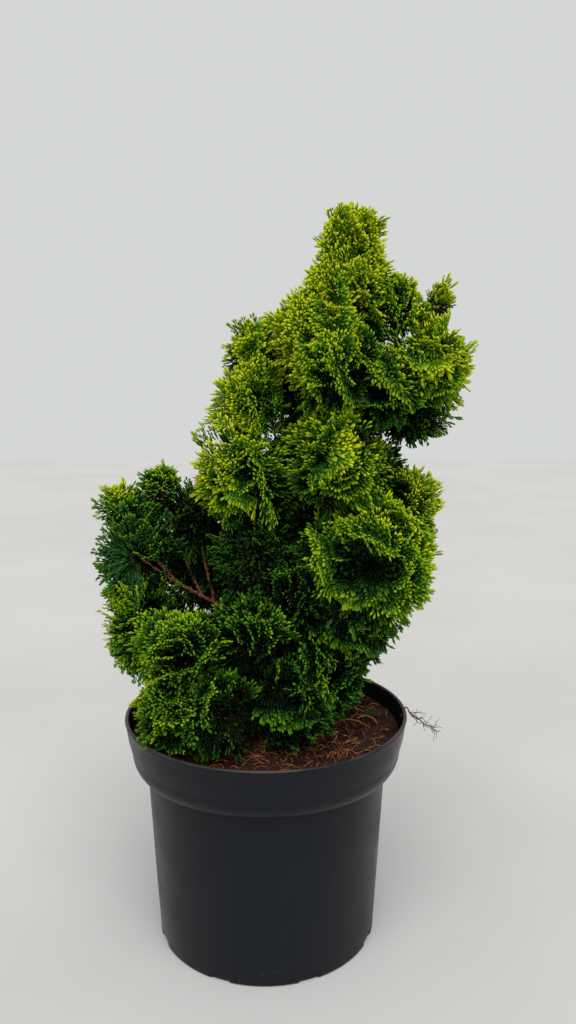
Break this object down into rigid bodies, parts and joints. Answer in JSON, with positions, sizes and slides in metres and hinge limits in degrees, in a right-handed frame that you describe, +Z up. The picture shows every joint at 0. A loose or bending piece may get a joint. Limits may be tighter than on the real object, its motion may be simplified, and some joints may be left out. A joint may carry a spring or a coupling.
{
  "type": "potted dwarf conifer",
  "caption": "Small leaning conifer with shell-shaped sprays of yellow-green scale leaves, in a round black nursery pot filled with compost.",
  "frame": {"origin": "middle of the flat underside of the pot, on the surface that it stands on", "axes": "+Z up the plant; +X to the right of its front; +Y from its front to its back"},
  "size_m": [0.342, 0.258, 0.6664],
  "materials": {
    "pot_plastic": "dark slate-black moulded plastic, soft sheen, dusty",
    "compost": "moist crumbly peat and bark compost",
    "bark": "rough reddish-brown bark",
    "young_bark": "smooth orange-brown young bark",
    "foliage_yellow": "scale-leaf foliage",
    "foliage_bright": "scale-leaf foliage",
    "foliage_green": "scale-leaf foliage",
    "foliage_deep": "scale-leaf foliage"
  },
  "bodies": {
    "root": {"pot": "pot_plastic", "compost": "compost", "trunk": "bark", "high_left_bough": "young_bark", "mid_left_high_bough": "young_bark", "mid_left_bough": "young_bark", "low_right_bough": "young_bark", "left_fan_bough": "young_bark", "left_high_bough": "young_bark", "left_mid_high_bough": "young_bark", "left_inner_bough": "young_bark", "left_low_bough": "young_bark", "left_behind_bough": "young_bark", "foot_left_bough": "young_bark", "foot_left_low_bough": "young_bark", "foot_front_bough": "young_bark", "back_low_left_bough": "young_bark", "back_low_right_bough": "young_bark", "crown_tip": "foliage_yellow", "crown_neck": "foliage_bright", "upper_left": "foliage_yellow", "upper_front": "foliage_bright", "high_left": "foliage_bright", "right_shoulder": "foliage_green", "right_high": "foliage_yellow", "right_shoot": "foliage_bright", "right_under": "foliage_deep", "right_front": "foliage_green", "mid_left_high": "foliage_yellow", "mid_left": "foliage_bright", "mid_front": "foliage_bright", "mid_right": "foliage_green", "low_right_high": "foliage_yellow", "low_right": "foliage_bright", "right_inner": "foliage_green", "low_right_under": "foliage_green", "foot_right": "foliage_green", "low_middle": "foliage_deep", "low_neck": "foliage_deep", "low_front": "foliage_green", "left_fan": "foliage_deep", "left_high": "foliage_yellow", "left_mid_high": "foliage_green", "left_inner": "foliage_deep", "left_low": "foliage_green", "left_behind": "foliage_deep", "foot_left": "foliage_bright", "foot_left_low": "foliage_bright", "foot_front": "foliage_green", "foot_middle": "foliage_green", "back_top": "foliage_bright", "back_high": "foliage_green", "back_high_left": "foliage_green", "back_mid": "foliage_deep", "back_mid_right": "foliage_green", "back_low_left": "foliage_deep", "back_low": "foliage_deep", "back_low_right": "foliage_green", "back_foot_left": "foliage_deep", "back_foot_right": "foliage_deep"}
  },
  "joints": []
}
